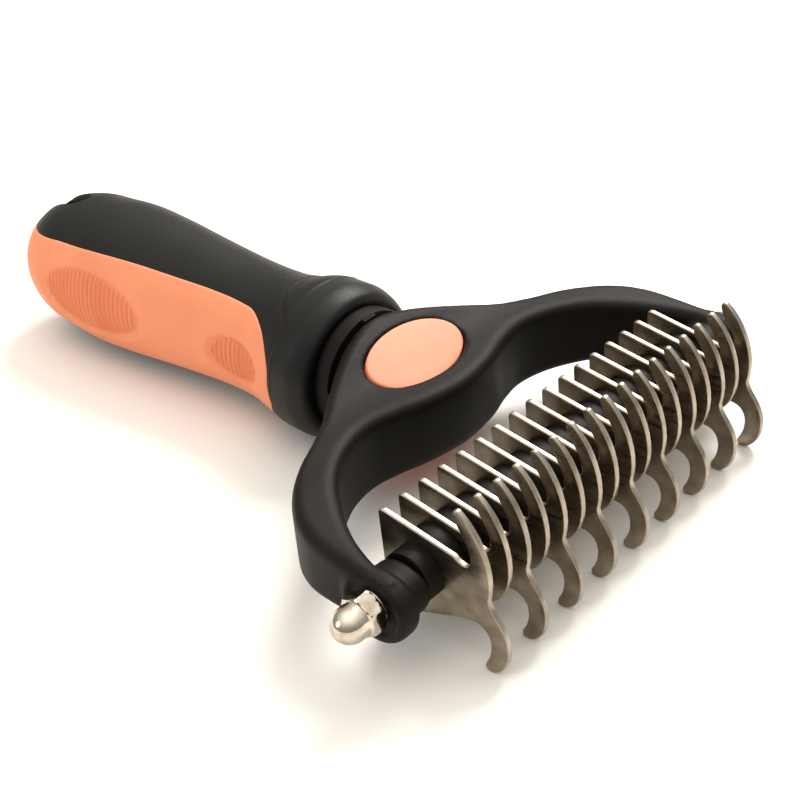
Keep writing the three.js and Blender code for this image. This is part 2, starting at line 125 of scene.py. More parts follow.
def grained_plastic():
    """Hard black plastic with a fine spark-eroded grain."""
    mat, shader = new_material("black_grain", (0.012, 0.010, 0.009), 0.45)
    shader.inputs["Specular IOR Level"].default_value = 0.12
    tone = noise(mat, 60, 4)
    link(mat, ramp_color(mat, tone, (0.0045, 0.0035, 0.003), (0.0075, 0.006, 0.0052)),
         shader.inputs["Base Color"])
    grain = noise(mat, 5200, 2)
    link(mat, remap(mat, grain, 0.44, 0.6), shader.inputs["Roughness"])
    bump(mat, shader, grain, 0.00004, 0.35)
    return mat


def soft_touch(name, dark, light, roughness, shine=0.23):
    """Smooth over-moulded rubber with a faint mottle."""
    mat, shader = new_material(name, light, roughness)
    shader.inputs["Specular IOR Level"].default_value = shine
    link(mat, ramp_color(mat, noise(mat, 90, 5), dark, light), shader.inputs["Base Color"])
    fine = noise(mat, 2600, 2)
    link(mat, remap(mat, fine, roughness - 0.06, roughness + 0.06), shader.inputs["Roughness"])
    bump(mat, shader, fine, 0.00003, 0.3)
    return mat


def steel_painted_edge_light():
    """Stamped steel with rolling marks. Its colour holds painted light: the broad faces get a
    darker warm grey as painted shade, the edges a lighter one as a painted highlight.
    """
    mat, shader = new_material("steel_painted_edge_light", (0.4, 0.37, 0.32), 0.36, 1.0)
    patches = noise(mat, 240, 5)
    # painted shade: the broad faces of the blades are coloured darker than the edges
    face = ramp_color(mat, patches, (0.19, 0.152, 0.108), (0.35, 0.295, 0.225))
    # painted highlight: the edges are coloured lighter, standing in for light caught on their
    # rounded rims
    rim = ramp_color(mat, patches, (0.28, 0.24, 0.19), (0.44, 0.39, 0.325))
    # mask from the normal: faces that look along X take the painted face shade, edges take the
    # painted rim highlight
    place = add_node(mat, "ShaderNodeTexCoord")
    split = add_node(mat, "ShaderNodeSeparateXYZ")
    link(mat, place.outputs["Normal"], split.inputs["Vector"])
    across = add_node(mat, "ShaderNodeMath", operation="ABSOLUTE")
    link(mat, split.outputs["X"], across.inputs[0])
    mix = add_node(mat, "ShaderNodeMix", data_type="RGBA")
    color_a, color_b = [socket for socket in mix.inputs if socket.type == "RGBA"]
    color_out = next(socket for socket in mix.outputs if socket.type == "RGBA")
    link(mat, remap(mat, across.outputs[0], 0.0, 1.0, 0.8, 0.98), mix.inputs["Factor"])
    link(mat, rim, color_a)
    link(mat, face, color_b)
    link(mat, color_out, shader.inputs["Base Color"])
    marks = noise(mat, 900, 3, (1, 0.12, 1))
    link(mat, remap(mat, marks, 0.25, 0.42), shader.inputs["Roughness"])
    bump(mat, shader, marks, 0.00003, 0.3)
    return mat


def bright_nickel():
    mat, shader = new_material("bright_nickel", (0.86, 0.82, 0.74), 0.12, 1.0)
    cloud = noise(mat, 420, 4)
    # Partly random tone, partly painted reflection: the darker clouds in the base colour stand in
    # for dark surroundings mirrored in the nut
    link(mat, ramp_color(mat, cloud, (0.44, 0.375, 0.29), (0.72, 0.655, 0.55)),
         shader.inputs["Base Color"])
    link(mat, remap(mat, cloud, 0.05, 0.16), shader.inputs["Roughness"])
    bump(mat, shader, noise(mat, 700, 2), 0.00008, 0.25)
    return mat


def turned_steel():
    mat, shader = new_material("turned_steel", (0.5, 0.49, 0.47), 0.35, 1.0)
    rings = noise(mat, 1600, 2, (1, 0.1, 0.1))
    link(mat, ramp_color(mat, rings, (0.44, 0.43, 0.41), (0.54, 0.53, 0.51)),
         shader.inputs["Base Color"])
    link(mat, remap(mat, rings, 0.25, 0.5), shader.inputs["Roughness"])
    bump(mat, shader, rings, 0.00004, 0.3)
    return mat


SOFT_BLACK = (0.0032, 0.0024, 0.0020), (0.0056, 0.0045, 0.0038)
SOFT_ORANGE = (0.74, 0.25, 0.125), (0.80, 0.28, 0.145)
BADGE_PEACH = (0.74, 0.25, 0.145), (0.79, 0.28, 0.165)
MATERIALS = {
    "black_plastic": grained_plastic(),
    "soft_black": soft_touch("soft_black", *SOFT_BLACK, 0.48),
    "soft_orange": soft_touch("soft_orange", *SOFT_ORANGE, 0.58),
    "badge_peach": soft_touch("badge_peach", *BADGE_PEACH, 0.45),
    "blade_steel": steel_painted_edge_light(),
    "nickel": bright_nickel(),
    "plain_steel": turned_steel(),
}

# ---------------------------------------------------------------- mesh helpers


def clean(mesh, drop_slivers):
    """Joins a mesh's shared points and turns its faces outwards."""
    work = bmesh.new()
    work.from_mesh(mesh)
    bmesh.ops.remove_doubles(work, verts=work.verts, dist=1e-4)
    if drop_slivers:
        bmesh.ops.dissolve_degenerate(work, edges=work.edges, dist=1e-5)
    bmesh.ops.recalc_face_normals(work, faces=work.faces)
    work.to_mesh(mesh)
    work.free()


def show(name, data):
    """Puts a mesh, light or camera into the scene as an object."""
    obj = bpy.data.objects.new(name, data)
    bpy.context.scene.collection.objects.link(obj)
    return obj


def raw_mesh(name, verts, faces):
    """Object from points in the tool frame, in millimetres."""
    mesh = bpy.data.meshes.new(name)
    mesh.from_pydata([tuple(v) for v in verts], [], faces)
    clean(mesh, drop_slivers=True)
    return show(name, mesh)


def bake_modifiers(obj):
    """Writes the modifiers' result into the mesh."""
    graph = bpy.context.evaluated_depsgraph_get()
    graph.update()
    mesh = bpy.data.meshes.new_from_object(obj.evaluated_get(graph))
    obj.modifiers.clear()
    obj.data = mesh


def combine(obj, other, operation):
    """Cuts or joins a piece with another, which is used up."""
    mod = obj.modifiers.new("boolean", "BOOLEAN")
    mod.operation = operation
    mod.solver = "EXACT"
    mod.object = other
    bake_modifiers(obj)
    bpy.data.objects.remove(other)
    return obj


def finish_piece(obj, slot, nodes):
    """Lays a piece down in the frame, gives it its material, hangs it under the root body and
    hides the imported parts that it stands for.
    """
    obj.data.transform(TOOL)
    obj.data.polygons.foreach_set("use_smooth", [True] * len(obj.data.polygons))
    obj.data.materials.clear()
    obj.data.materials.append(MATERIALS[slot])
    obj.data.update()
    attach(obj, "root")
    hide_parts(*nodes)


def ring_faces(rows, columns, closed=True):
    """Bands of faces between rows of points, joined round unless they are open."""
    faces = []
    span = columns if closed else columns - 1
    for i in range(rows - 1):
        for j in range(span):
            a, b = i * columns + j, i * columns + (j + 1) % columns
            faces.append((a, b, b + columns, a + columns))
    return faces


def capped_faces(rows, columns):
    """Bands between closed rows of points, with a flat cap on the first and the last."""
    last = (rows - 1) * columns
    caps = [tuple(range(columns)), tuple(range(last, last + columns))]
    return ring_faces(rows, columns) + caps


# Radius in place of zero, so that no face of a turned solid folds up on its axis.
ON_AXIS = 0.02


def lathe(name, profile, axis, segments=64, radius_at=None):
    """Turned solid about X or Y from [radius, place] corners. A profile clear of the axis
    ends where it starts. radius_at(r, place, angle) may change the radius locally."""
    verts = []
    for r, place in profile:
        for j in range(segments):
            angle = 2 * math.pi * j / segments
            radius = radius_at(r, place, angle) if radius_at else r
            u, v = radius * math.cos(angle), radius * math.sin(angle)
            verts.append((place, u, v) if axis == "X" else (u, place, v))
    return raw_mesh(name, verts, ring_faces(len(profile), segments))


def rounded_corners(corners, radius, steps=4):
    """[r, place] outline of a closed ring section with its corners rounded."""
    out = []
    count = len(corners)
    for i, corner in enumerate(corners):
        before = Vector(corners[i - 1]) - Vector(corner)
        after = Vector(corners[(i + 1) % count]) - Vector(corner)
        reach = min(radius, before.length * 0.45, after.length * 0.45)
        start = Vector(corner) + before.normalized() * reach
        stop = Vector(corner) + after.normalized() * reach
        for k in range(steps + 1):
            t = k / steps
            point = start.lerp(Vector(corner), t).lerp(Vector(corner).lerp(stop, t), t)
            out.append((point.x, point.y))
    out.append(out[0])
    return out


def smoothstep(t):
    t = np.clip(t, 0, 1)
    return t * t * (3 - 2 * t)


def through(points):
    """Smooth function through (place, value) points, with no overshoot."""
    xs = np.array([p[0] for p in points], float)
    ys = np.array([p[1] for p in points], float)
    slopes = np.diff(ys) / np.diff(xs)
    tangents = np.zeros(len(xs))
    for i in range(1, len(xs) - 1):
        if slopes[i - 1] * slopes[i] > 0:
            tangents[i] = 2 / (1 / slopes[i - 1] + 1 / slopes[i])
    tangents[0], tangents[-1] = slopes[0], slopes[-1]

    def value(x):
        i = int(np.clip(np.searchsorted(xs, x) - 1, 0, len(xs) - 2))
        h = xs[i + 1] - xs[i]
        t = min(1.0, max(0.0, (x - xs[i]) / h))
        a, b = ys[i], ys[i + 1]
        m, n = tangents[i] * h, tangents[i + 1] * h
        return (
            a * (2 * t**3 - 3 * t**2 + 1) + m * (t**3 - 2 * t**2 + t)
            + b * (3 * t**2 - 2 * t**3) + n * (t**3 - t**2)
        )

    return value


# ---------------------------------------------------------------- blades

BLADE_COUNT, BLADE_PITCH, BLADE_THICK = 17, 5.0, 1.15
BLADE_BACK, BLADE_CORNER = 8.9, 1.4
BLADE_EDGE = 0.3
BLADE_HOLE = 4.8


def blade_path(hooked):
    """Outline of a blade as Bezier pieces: each is (handle, handle, point) or (point,)."""
    path = [
        ((BLADE_BACK - 0.75, -12.4 + BLADE_CORNER),),
        ((BLADE_BACK, 8.7 - BLADE_CORNER),),
        ((BLADE_BACK, 8.3), (BLADE_BACK - 0.5, 8.6), (BLADE_BACK - BLADE_CORNER, 8.45)),
        ((-7.2, 6.0),),
        ((-9.3, 4.3), (-10.9, 4.9), (-10.8, 7.2)),
        ((-10.7, 10.2), (-7.9, 11.9), (-7.5, 14.5)),
        ((-7.5, 15.5), (-8.1, 15.7), (-8.75, 15.35)),
        ((-12.9, 12.4), (-15.6, 5.5), (-14.1, -0.1)),
    ]
    if hooked:
        path += [
            ((-14.3, -2.6), (-17.8, -4.2), (-17.85, -8.6)),
            ((-17.9, -12.2), (-16.2, -14.5), (-14.3, -15.1)),
            ((-13.0, -15.2), (-12.6, -14.6), (-12.9, -13.7)),
            ((-13.7, -12.3), (-14.2, -11.0), (-14.15, -9.2)),
            ((-14.1, -7.2), (-12.9, -5.8), (-10.9, -5.8)),
            ((-8.3, -6.4),),
        ]
    else:
        path += [((-13.5, -2.6), (-12.0, -5.2), (-8.3, -6.4))]
    path += [
        ((BLADE_BACK - 1.0 - BLADE_CORNER, -12.2),),
        ((BLADE_BACK - 1.1, -12.75), (BLADE_BACK - 0.8, -12.2),
         (BLADE_BACK - 0.75, -12.4 + BLADE_CORNER)),
    ]
    return path


def blade_outline(hooked, steps=10):
    points = []
    here = None
    for piece in blade_path(hooked):
        stop = Vector(piece[-1])
        if len(piece) == 1:
            points.append(stop)
        else:
            a, b = Vector(piece[0]), Vector(piece[1])
            for k in range(1, steps + 1):
                t = k / steps
                points.append(
                    here * (1 - t) ** 3 + a * 3 * t * (1 - t) ** 2
                    + b * 3 * t * t * (1 - t) + stop * t**3
                )
        here = stop
    return points[:-1]


def flat_plate(name, outlines, thick, edge):
    """Plate across X from closed outlines [(y, z)], with rounded edges."""
    curve = bpy.data.curves.new(name, "CURVE")
    curve.dimensions = "2D"
    curve.fill_mode = "BOTH"
    curve.extrude = thick / 2 - edge
    curve.bevel_depth = edge
    curve.bevel_resolution = 3
    curve.offset = -edge
    for outline in outlines:
        spline = curve.splines.new("POLY")
        spline.points.add(len(outline) - 1)
        for point, (u, v) in zip(spline.points, outline):
            point.co = (u, v, 0, 1)
        spline.use_cyclic_u = True
    holder = show(name, curve)
    graph = bpy.context.evaluated_depsgraph_get()
    graph.update()
    mesh = bpy.data.meshes.new_from_object(holder.evaluated_get(graph))
    bpy.data.objects.remove(holder)
    clean(mesh, drop_slivers=False)
    mesh.transform(Matrix(((0, 0, 1, 0), (1, 0, 0, 0), (0, 1, 0, 0), (0, 0, 0, 1))))
    return mesh


def mark_sharp(mesh, degrees):
    """Smooth shading that still breaks at real edges."""
    work = bmesh.new()
    work.from_mesh(mesh)
    limit = math.radians(degrees)
    for edge in work.edges:
        if len(edge.link_faces) == 2 and edge.calc_face_angle(0) > limit:
            edge.smooth = False
    work.to_mesh(mesh)
    work.free()


def blade_x(i):
    return (i - (BLADE_COUNT - 1) / 2) * BLADE_PITCH


def make_blades():
    half = BLADE_HOLE / 2
    square = [(-half, -half), (-half, half), (half, half), (half, -half)]
    plates = [
        flat_plate(f"plate_{k}", [blade_outline(k == 0), square], BLADE_THICK, BLADE_EDGE)
        for k in (0, 1)
    ]
    for i in range(BLADE_COUNT):
        mesh = plates[i % 2].copy()
        mesh.transform(Matrix.Translation((blade_x(i), 0, 0)))
        mark_sharp(mesh, 50)
        obj = show(f"steel_blade_{i + 1:02d}", mesh)
        finish_piece(obj, "blade_steel", [f"blade_{i + 1:02d}"])


SPACER_R, SPACER_BORE_R = 6.0, 3.5


def make_spacers():
    half = (BLADE_PITCH - BLADE_THICK) / 2
    section = [(SPACER_BORE_R, -half), (SPACER_R, -half), (SPACER_R, half), (SPACER_BORE_R, half)]
    for i in range(BLADE_COUNT - 1):
        middle = blade_x(i) + BLADE_PITCH / 2
        profile = [(r, x + middle) for r, x in rounded_corners(section, 0.5, 3)]
        obj = lathe(f"spacer_ring_{i + 1:02d}", profile, "X", 48)
        finish_piece(obj, "black_plastic", [f"spacer_{i + 1:02d}"])


# ---------------------------------------------------------------- axle ends

BOSS_OUT, BOSS_IN, BOSS_R = 53.0, 48.4, 7.2
INNER_BOSS_IN, INNER_BOSS_R = 44.2, 5.6
# Height of an arm's round end above the axle, as a share of its height below.
BOSS_TOP = 0.73
SEAT_R, SEAT_DEPTH = 5.2, 0.9
SEAT_FACE = BOSS_OUT - SEAT_DEPTH
WASHER_THICK, WASHER_R, WASHER_BORE_R = 0.8, 3.4, 2.2
SLEEVE_R = 5.0
AXLE_BORE_R = 2.2
NUT_BASE = SEAT_FACE + WASHER_THICK
STACK_END = blade_x(BLADE_COUNT - 1) + BLADE_THICK / 2


def make_nut():
    """Dome nut: a chamfered hexagon that runs into a round dome."""
    apothem, corner_r, hex_top, dome_r, dome_start, tall = 3.5, 4.05, 3.3, 3.22, 4.6, 8.2
    # radius, height above the washer
    profile = [(ON_AXIS, 0), (2.4, 0), (3.3, 0), (3.62, 0.05), (3.9, 0.35), (corner_r, 0.62)]
    profile += [(corner_r, 2.5), (3.95, 2.8), (3.72, 3.05), (3.45, 3.22), (3.3, hex_top)]
    profile += [(dome_r, 3.42), (dome_r, 4.4)]
    dome_steps = 14
    for k in range(1, dome_steps + 1):
        angle = k / dome_steps * math.pi / 2
        profile.append((max(ON_AXIS, dome_r * math.cos(angle)),
                        dome_start + (tall - dome_start) * math.sin(angle)))

    def radius_at(r, place, angle):
        if abs(place) > NUT_BASE + hex_top + 0.02:
            return r
        turn = (angle + math.pi / 6) % (math.pi / 3) - math.pi / 6
        return min(r, apothem / math.cos(turn))

    placed = [(r, -NUT_BASE - x) for r, x in profile]
    obj = lathe("dome_nut", placed, "X", 120, radius_at)
    mark_sharp(obj.data, 25)
    finish_piece(obj, "nickel", ["acorn_nut"])


def make_bolt_head():
    """Low round head on the other end of the cross bolt."""
    # radius, height above the washer
    profile = [(ON_AXIS, 0.8), (2.2, 0.8), (2.2, 0), (4.2, 0), (4.3, 0.1), (4.3, 0.75),
               (4.2, 1.0), (3.95, 1.2), (3.5, 1.34), (2.6, 1.4), (ON_AXIS, 1.42)]
    obj = lathe("low_bolt_head", [(r, NUT_BASE + x) for r, x in profile], "X", 64)
    mark_sharp(obj.data, 40)
    finish_piece(obj, "nickel", ["bolt_head"])


def make_rings_at_ends():
    """Washers, and the sleeves between the stack of blades and the arms."""
    for side, sign in (("left", -1), ("right", 1)):
        rings = [
            ("washer", "washer", "nickel", WASHER_BORE_R, WASHER_R, SEAT_FACE, NUT_BASE),
            ("sleeve", "end_sleeve", "black_plastic", SPACER_BORE_R, SLEEVE_R, STACK_END,
             INNER_BOSS_IN),
        ]
        for name, node, slot, bore, outer, start, stop in rings:
            section = [(bore, start), (outer, start), (outer, stop), (bore, stop)]
            profile = [(r, sign * x) for r, x in rounded_corners(section, 0.2, 3)]
            obj = lathe(f"{name}_ring_{side}", profile, "X", 64)
            mark_sharp(obj.data, 50)
            finish_piece(obj, slot, [f"{node}_{side}"])


# ---------------------------------------------------------------- yoke

NECK_END = 47.0
# y, half width, half thickness, rounding
YOKE_STATIONS = [
    (-3, 52.6, 5.2, 1.9), (3, 52.4, 5.4, 1.9), (9, 52.1, 5.9, 2.0), (14.5, 51.4, 6.5, 2.1),
    (19, 49.8, 7.0, 2.3), (23, 47.0, 7.4, 2.5), (26.5, 43.4, 7.6, 2.7), (29.5, 39.0, 7.8, 3.0),
    (32, 33.9, 8.0, 3.3), (35, 28.2, 8.5, 3.8), (38.5, 23.0, 9.8, 4.8), (42, 18.2, 11.5, 7.4),
    (45, 14.8, 12.7, 11.0), (46.4, 13.0, 13.0, 12.7), (NECK_END, 12.8, 12.8, 12.6),
]
WINDOW = [
    (0, 23), (9, 24.2), (16, 26.4), (22.5, 27.5), (29.5, 26), (36, 22.2),
    (41, 16.8), (44.8, 11.2), (47.2, 5.5), (BOSS_IN, 0), (BOSS_IN, -12),
]
WINDOW_ROUND = 2.1
BADGE_Y, BADGE_Z, BADGE_SLOPE = 35.95, 8.5, 0.46
BADGE_LONG, BADGE_SHORT = 12.3, 6.9
BADGE_RIM, BADGE_CROWN = 0.62, 0.1
# inset, height of the cutter for a badge's pocket
POCKET = [(-0.25, -1.6), (-0.25, 5)]
YOKE_VOXEL = 0.42


def yoke_value(column):
    """One of the yoke's sizes as a smooth function of y."""
    return through([(s[0], s[column]) for s in YOKE_STATIONS])


def yoke_loft():
    """Skin of the yoke through its rounded cross sections, before the space is cut out."""
    width, half, corner = (yoke_value(k) for k in (1, 2, 3))
    places = list(np.arange(-3, 44, 0.8)) + list(np.arange(44, NECK_END, 0.3)) + [NECK_END]
    steps = 8
    verts = []
    for y in places:
        w, h, r = width(y), half(y), corner(y)
        r = min(r, w - 0.02, h - 0.02)
        for k in range(4):
            middle = (k + 0.5) * math.pi / 2
            x0 = math.copysign(w - r, math.cos(middle))
            z0 = math.copysign(h - r, math.sin(middle))
            for n in range(steps + 1):
                angle = (k + n / steps) * math.pi / 2
                verts.append((x0 + r * math.cos(angle), y, z0 + r * math.sin(angle)))
    return raw_mesh("yoke_skin", verts, capped_faces(len(places), 4 * (steps + 1)))


def catmull(points, steps):
    """Even points along a smooth curve through the given ones."""
    pts = [np.array(p, float) for p in points]
    pts = [2 * pts[0] - pts[1]] + pts + [2 * pts[-1] - pts[-2]]
    dense = []
    for i in range(1, len(pts) - 2):
        a, b, c, d = pts[i - 1:i + 3]
        for t in np.linspace(0, 1, 16, endpoint=False):
            dense.append(0.5 * (2 * b + (c - a) * t + (2 * a - 5 * b + 4 * c - d) * t**2
                                + (3 * b - a - 3 * c + d) * t**3))
    dense.append(pts[-2])
    dense = np.array(dense)
    run = np.concatenate([[0], np.cumsum(np.linalg.norm(np.diff(dense, axis=0), axis=1))])
    marks = np.linspace(0, run[-1], steps)
    return np.stack([np.interp(marks, run, dense[:, k]) for k in (0, 1)], axis=1)


def window_cutter():
    """The space inside the fork, flared at the top and bottom so the edges come out round."""
    outline = catmull([(-x, y) for x, y in WINDOW[:0:-1]] + WINDOW, 120)
    ahead = np.roll(outline, -1, axis=0) - np.roll(outline, 1, axis=0)
    ahead[0], ahead[-1] = outline[1] - outline[0], outline[-1] - outline[-2]
    outward = np.stack([-ahead[:, 1], ahead[:, 0]], axis=1)
    outward /= np.linalg.norm(outward, axis=1)[:, None]
    half = yoke_value(2)
    layers = []
    flare = [(WINDOW_ROUND * (1 - math.cos(a)), -WINDOW_ROUND * (1 - math.sin(a)))
             for a in np.linspace(math.pi / 2, 0, 7)]
    flare = [(WINDOW_ROUND + 0.6, 1.2)] + flare
    for grow, drop in flare:
        layers.append((grow, 1, drop))
    for grow, drop in reversed(flare):
        layers.append((grow, -1, -drop))
    verts = []
    for grow, side, lift in layers:
        for (x, y), (nx, ny) in zip(outline, outward):
            z = side * half(y) + lift
            verts.append((x + nx * grow, y + ny * grow, z))
    return raw_mesh("window", verts, capped_faces(len(layers), len(outline)))


def arm_end(sign):
    """Round end of an arm about the axle, flatter on top."""
    profile = [(ON_AXIS, INNER_BOSS_IN), (INNER_BOSS_R - 0.9, INNER_BOSS_IN),
               (INNER_BOSS_R - 0.2, INNER_BOSS_IN + 0.25), (INNER_BOSS_R, INNER_BOSS_IN + 0.9),
               (INNER_BOSS_R, BOSS_IN), (BOSS_R - 0.4, BOSS_IN + 0.2), (BOSS_R, BOSS_IN + 1),
               (BOSS_R, BOSS_OUT - 1.2), (BOSS_R - 0.35, BOSS_OUT - 0.35),
               (BOSS_R - 1.2, BOSS_OUT), (ON_AXIS, BOSS_OUT)]
    obj = lathe("arm_end", [(r, sign * x) for r, x in profile], "X", 64)
    for vertex in obj.data.vertices:
        if vertex.co.z > 0:
            vertex.co.z *= BOSS_TOP
    return obj


def axle_cut(sign):
    """Bore for the axle, with the round recess that the nut or the head sits in."""
    inside, outside = INNER_BOSS_IN - 1, BOSS_OUT + 4
    profile = [(ON_AXIS, inside), (AXLE_BORE_R, inside), (AXLE_BORE_R, SEAT_FACE),
               (SEAT_R, SEAT_FACE), (SEAT_R, outside), (ON_AXIS, outside)]
    return lathe("axle_cut", [(r, sign * x) for r, x in profile], "X", 48)


def oval_stack(name, layers, sign):
    """Closed solid from ovals stacked on the neck's sloping face: (inset, height)."""
    count = 96
    tilt = Matrix.Translation((0, BADGE_Y, BADGE_Z)) @ Matrix.Rotation(BADGE_SLOPE, 4, "X")
    if sign < 0:
        tilt = Matrix.Scale(-1, 4, (0, 0, 1)) @ tilt
    verts = []
    for inset, height in layers:
        long, short = max(0.01, BADGE_LONG - inset), max(0.006, BADGE_SHORT - inset)
        for j in range(count):
            angle = 2 * math.pi * j / count
            verts.append(tilt @ Vector((long * math.cos(angle), short * math.sin(angle), height)))
    return raw_mesh(name, verts, capped_faces(len(layers), count))


def make_yoke():
    """Forked yoke: its edges and joins are softened together by one fine remesh."""
    body = combine(yoke_loft(), window_cutter(), "DIFFERENCE")
    for sign in (-1, 1):
        combine(body, arm_end(sign), "UNION")
    for sign in (-1, 1):
        combine(body, axle_cut(sign), "DIFFERENCE")
        combine(body, oval_stack("pocket", POCKET, sign), "DIFFERENCE")
    remesh = body.modifiers.new("remesh", "REMESH")
    remesh.mode = "VOXEL"
    remesh.voxel_size = YOKE_VOXEL
    soften = body.modifiers.new("smooth", "SMOOTH")
    soften.factor = 0.5
    soften.iterations = 6
    bake_modifiers(body)
    body.name = "forked_yoke"
    finish_piece(body, "black_plastic", ["yoke"])


def make_badges():
    for name, node, sign in (("neck_badge_top", "badge_top", 1),
                             ("neck_badge_bottom", "badge_bottom", -1)):
        layers = [(0.0, -1.3), (0.0, 0.2), (0.04, 0.38), (0.15, 0.52), (0.32, 0.59)]
        layers += [(0.6, BADGE_RIM)]
        layers += [(BADGE_SHORT * t, BADGE_RIM + BADGE_CROWN * t) for t in (0.3, 0.6, 0.9)]
        obj = oval_stack(name, layers, sign)
        mark_sharp(obj.data, 50)
        finish_piece(obj, "badge_peach", [node])


def make_collar():
    """Slotted ring: a groove round it, bridged by four short ribs."""
    bore, hub, flange = 6.3, 10.6, 13.1
    start, face, stop = 47.05, 48.1, 51.45
    rib_half_angle, rib_fade = 0.125, 0.03
    profile = [(bore, start), (hub, start), (hub, 47.3), (hub, 47.6), (hub, 47.9), (hub, face),
               (flange - 0.5, face), (flange - 0.1, face + 0.12), (flange, face + 0.5),
               (flange, stop), (bore, stop), (bore, start)]

    def radius_at(r, place, angle):
        if not hub - 0.01 <= r < flange - 0.4:
            return r
        turn = (angle + math.pi / 4) % (math.pi / 2) - math.pi / 4
        rib = smoothstep(1 - (abs(turn) - rib_half_angle) / rib_fade)
        return r + rib * (flange - 0.05 - r)

    obj = lathe("slotted_collar", profile, "Y", 360, radius_at)
    mark_sharp(obj.data, 45)
    finish_piece(obj, "black_plastic", ["neck_collar"])


# ---------------------------------------------------------------- handle

HANDLE_FRONT, HANDLE_REAR, DOME_START = 51.5, 155.4, 134.0
HANDLE_WIDE, HANDLE_HIGH = 1.02, 0.98
TAIL_R = 16.4
TONGUE_TIP, TONGUE_ROOT, TONGUE_CURVE, TONGUE_SLOPE = 67.5, 57.5, 0.0606, 0.12
TONGUE_RISE, GROOVE_DEPTH = 0.25, 0.15
MOULD_LINE_Y, MOULD_LINE_DEPTH = 60.5, 0.12
HANG_Y, HANG_LONG, HANG_WIDE = 144.2, 13.8, 6.4
# y, radius
STATIONS = [
    (HANDLE_FRONT, 14.2), (53.2, 16), (56.5, 16.8), (61, 16.6), (66.5, 15.3), (74, 14.1),
    (79, 13.98), (84, 14.1), (94, 14.75), (104, 15.6), (114, 16.5), (124, 17),
    (DOME_START, TAIL_R),
]
barrel = through(STATIONS)

GRIP_FRONT, GRIP_CORNER_LONG, GRIP_CORNER_HIGH = 61.1, 13.0, 8.5
GRIP_THICK, GRIP_PROUD, GRIP_RIM = 0.9, 0.16, 0.45
GRIP_RECESS = 1.5
# The far flank's upper edge, as a share of the angle that the near one reaches.
FAR_EDGE = 0.7
# y, half height
GRIP_EDGE = through([
    (GRIP_FRONT + GRIP_CORNER_LONG, 11.3), (95, 11.75), (112, 12.15), (120, 12.05),
    (132.4, 11.3), (144, 10.1), (HANDLE_REAR + 2, 8.6),
])


def handle_radius(y):
    if y <= DOME_START:
        return barrel(y)
    t = min(1.0, (y - DOME_START) / (HANDLE_REAR - DOME_START))
    return TAIL_R * math.sqrt(max(0.0, 1 - t * t))


def table_height(y):
    """Lowest height in the tool's frame that stays clear of the table."""
    return 0.02 - AXLE.z / MM - math.tan(REST_SLOPE) * y


def thumb_rest(x, y, z):
    """How far the skin sinks on top, behind the flared front. The tongue is raised, so it
    counts below zero, and so does the thin mould line across it. A fine groove runs round
    the tongue's arched end."""
    if z < 0:
        return 0.0
    arch = TONGUE_TIP - TONGUE_CURVE * x * x
    inside = (arch - y) * math.cos(math.atan(TONGUE_SLOPE * x))
    tongue = smoothstep(inside / 1.1)
    groove = smoothstep(1 - abs(inside + 0.3) / 0.6)
    fade = smoothstep((y - TONGUE_ROOT) / 5.0)
    seam = smoothstep(1 - abs(y - MOULD_LINE_Y) / 0.4)
    rest = (GROOVE_DEPTH * groove - TONGUE_RISE * tongue) * fade
    return float(rest - MOULD_LINE_DEPTH * seam)


def grip_half(y):
    """Half height of the coloured grip seen from the side."""
    turn = GRIP_FRONT + GRIP_CORNER_LONG
    if y >= turn:
        return GRIP_EDGE(y)
    t = (turn - y) / GRIP_CORNER_LONG
    return GRIP_EDGE(turn) - GRIP_CORNER_HIGH * (1 - math.sqrt(max(0.0, 1 - t * t)))


def under_grip(y, angle, r, edge):
    """Depth of the body's recess under the soft grip, angle measured from the flank."""
    if y < GRIP_FRONT + 0.6:
        return 0.0
    reach = math.asin(min(1.0, grip_half(y) / (HANDLE_HIGH * r)))
    inside = min((edge * reach - abs(angle)) * r, y - GRIP_FRONT)
    return GRIP_RECESS * float(smoothstep((inside - 0.7) / 0.7))


def make_handle_shell():
    """Black body of the handle, sunk where the soft grip covers it."""
    columns = 320
    # radius, y: the rounded front rim
    rows = [(9.0, 51.9), (13.3, 51.85), (13.75, 51.7), (14.1, 51.6), (14.5, 51.66),
            (14.95, 51.85), (15.35, 52.15), (15.7, 52.55)]
    places = list(np.arange(53.2, 70, 0.2)) + list(np.arange(70, DOME_START, 0.5))
    rows += [(handle_radius(y), y) for y in places]
    for k in range(41):
        angle = k / 40 * math.pi / 2
        y = DOME_START + (HANDLE_REAR - DOME_START) * math.sin(angle)
        rows.append((max(0.01, handle_radius(y)), y))
    verts = []
    for r, y in rows:
        for j in range(columns):
            angle = 2 * math.pi * j / columns
            x, z = HANDLE_WIDE * r * math.cos(angle), HANDLE_HIGH * r * math.sin(angle)
            dip = 0.0
            if y > 53 and r > 2:
                flank = math.asin(math.sin(angle))
                edge = FAR_EDGE if x > 0 and z > 0 else 1.0
                dip = thumb_rest(x, y, z) + under_grip(y, flank, r, edge)
            z = max(z * (1 - dip / r), table_height(y))
            verts.append((x * (1 - dip / r), y, z))
    obj = raw_mesh("handle_body", verts, capped_faces(len(rows), columns))
    combine(obj, slot_cutter(), "DIFFERENCE")
    mark_sharp(obj.data, 40)
    finish_piece(obj, "soft_black", ["handle_shell"])


